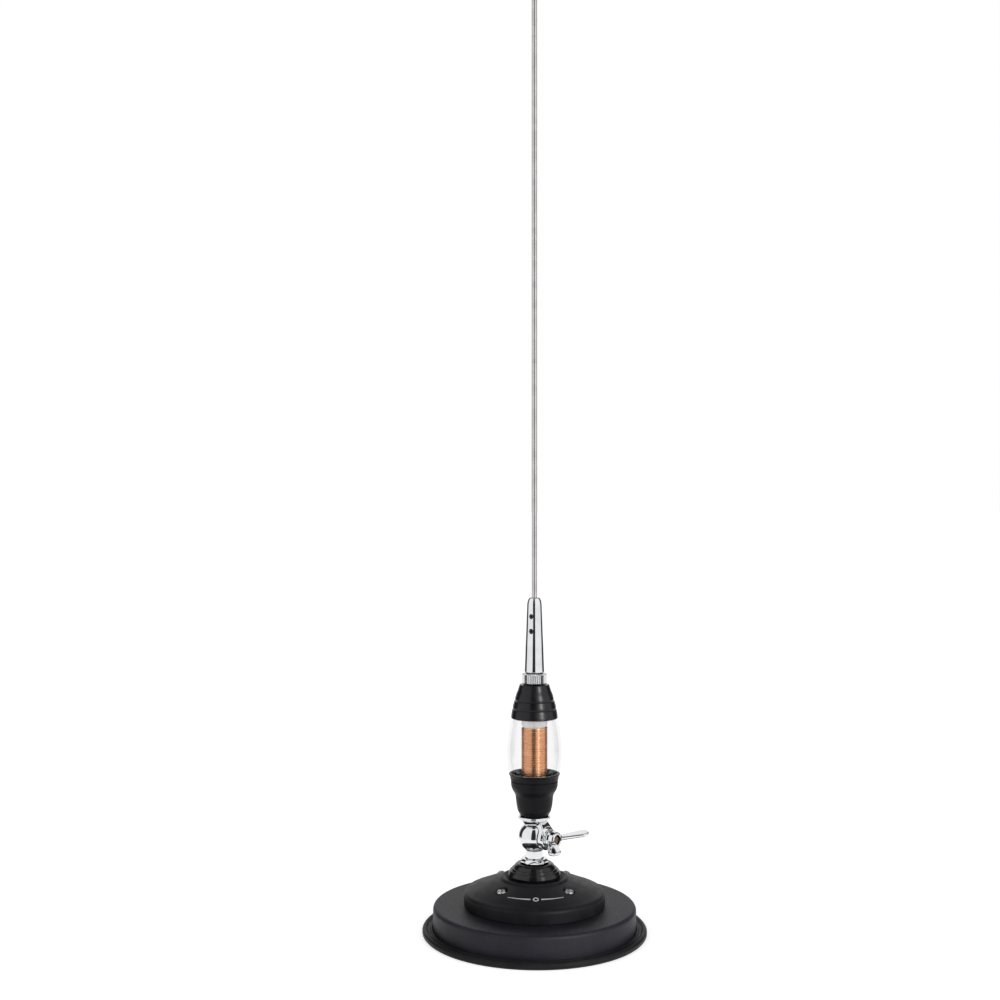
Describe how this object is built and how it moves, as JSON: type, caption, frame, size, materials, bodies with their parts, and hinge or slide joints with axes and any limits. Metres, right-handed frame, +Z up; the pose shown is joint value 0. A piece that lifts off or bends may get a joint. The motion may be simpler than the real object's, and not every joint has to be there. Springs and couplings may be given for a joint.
{
  "type": "mobile whip antenna",
  "caption": "Magnet-mount mobile radio antenna: round magnetic base, wing-nut tilt knuckle, base loading coil in a clear bulb and a steel whip.",
  "frame": {"origin": "centre of the rubber boot's underside, on the floor", "axes": "+Z up along the whip, +Y to the rear where the feed lead leaves, +X to the right"},
  "size_m": [0.145, 0.1985, 0.7927],
  "materials": {
    "rubber": "satin",
    "cup_paint": "fine textured, blue-black",
    "lid_plastic": "satin, fine moulded grain",
    "coil_plastic": "satin",
    "gloss_black": "gloss",
    "white_plastic": "satin",
    "clear_bulb": "clear moulded polycarbonate",
    "chrome": "polished",
    "plain_steel": "zinc plated",
    "screw_steel": "nickel plated",
    "plug_nickel": "nickel plated",
    "whip_steel": "drawn stainless",
    "brass": "machined",
    "copper": "enamelled copper wire",
    "ferrite": "sintered",
    "cable_jacket": "satin PVC"
  },
  "bodies": {
    "base": {"rubber_boot": "rubber", "magnet_cup": "cup_paint", "ring_magnet": "ferrite", "pole_plate": "plain_steel", "base_lid": "lid_plastic", "lid_screw_front_left": "screw_steel", "lid_screw_front_right": "screw_steel", "lid_screw_rear_left": "screw_steel", "lid_screw_rear_right": "screw_steel", "centre_stud": "brass", "stud_nut": "brass", "insulating_bush": "white_plastic", "feed_terminal": "brass", "cone_boot": "gloss_black", "coax_cable": "cable_jacket", "cable_grommet": "rubber", "plug_body": "plug_nickel", "plug_insulator": "white_plastic", "plug_pin": "brass"},
    "plug_sleeve": {"plug_sleeve": "plug_nickel"},
    "lower_mount": {"base_hex_nut": "chrome", "lower_knuckle": "chrome", "pivot_bolt": "screw_steel"},
    "clamp_washer": {"clamp_washer": "chrome"},
    "wing_nut": {"wing_nut": "chrome"},
    "coil_unit": {"upper_knuckle": "chrome", "lower_cup": "coil_plastic", "clear_bulb": "clear_bulb", "lower_bulb_seal": "rubber", "upper_bulb_seal": "rubber", "coil_former": "white_plastic", "copper_coil": "copper", "lower_terminal": "brass", "upper_terminal": "brass", "upper_cap": "coil_plastic", "top_stud": "brass"},
    "lock_ring": {"lock_ring": "chrome"},
    "whip_holder": {"whip_holder": "chrome", "grub_screw_lower": "screw_steel", "grub_screw_upper": "screw_steel"},
    "whip": {"whip_rod": "whip_steel", "whip_tip": "whip_steel"}
  },
  "joints": [
    {"name": "mount_swivel", "type": "hinge", "parent": "base", "child": "lower_mount", "pos_m": [0, 0, 0.045], "axis": [0, 0, 1], "range_deg": [-180, 180]},
    {"name": "knuckle_tilt", "type": "hinge", "parent": "lower_mount", "child": "coil_unit", "pos_m": [0, 0, 0.0619], "axis": [0.788, -0.6157, 0], "range_deg": [-90, 90]},
    {"name": "washer_slide", "type": "slide", "parent": "lower_mount", "child": "clamp_washer", "axis": [0.788, -0.6157, 0], "range_m": [0, 0.002]},
    {"name": "wing_nut_turn", "type": "hinge", "parent": "clamp_washer", "child": "wing_nut", "pos_m": [0, 0, 0.0619], "axis": [0.788, -0.6157, 0], "range_deg": [0, 720]},
    {"name": "lock_ring_turn", "type": "hinge", "parent": "coil_unit", "child": "lock_ring", "pos_m": [0, 0, 0.1641], "axis": [0, 0, 1], "continuous": true},
    {"name": "holder_turn", "type": "hinge", "parent": "coil_unit", "child": "whip_holder", "pos_m": [0, 0, 0.1679], "axis": [0, 0, 1], "continuous": true},
    {"name": "whip_slide", "type": "slide", "parent": "whip_holder", "child": "whip", "axis": [0, 0, 1], "range_m": [-0.01, 0.02]},
    {"name": "plug_sleeve_spin", "type": "hinge", "parent": "base", "child": "plug_sleeve", "pos_m": [0, 0.113, 0.0094], "axis": [0, 1, 0], "continuous": true}
  ],
  "couplings": [
    {"joint": "washer_slide", "follows": "wing_nut_turn", "m_per_rad": 0.00015915}
  ]
}
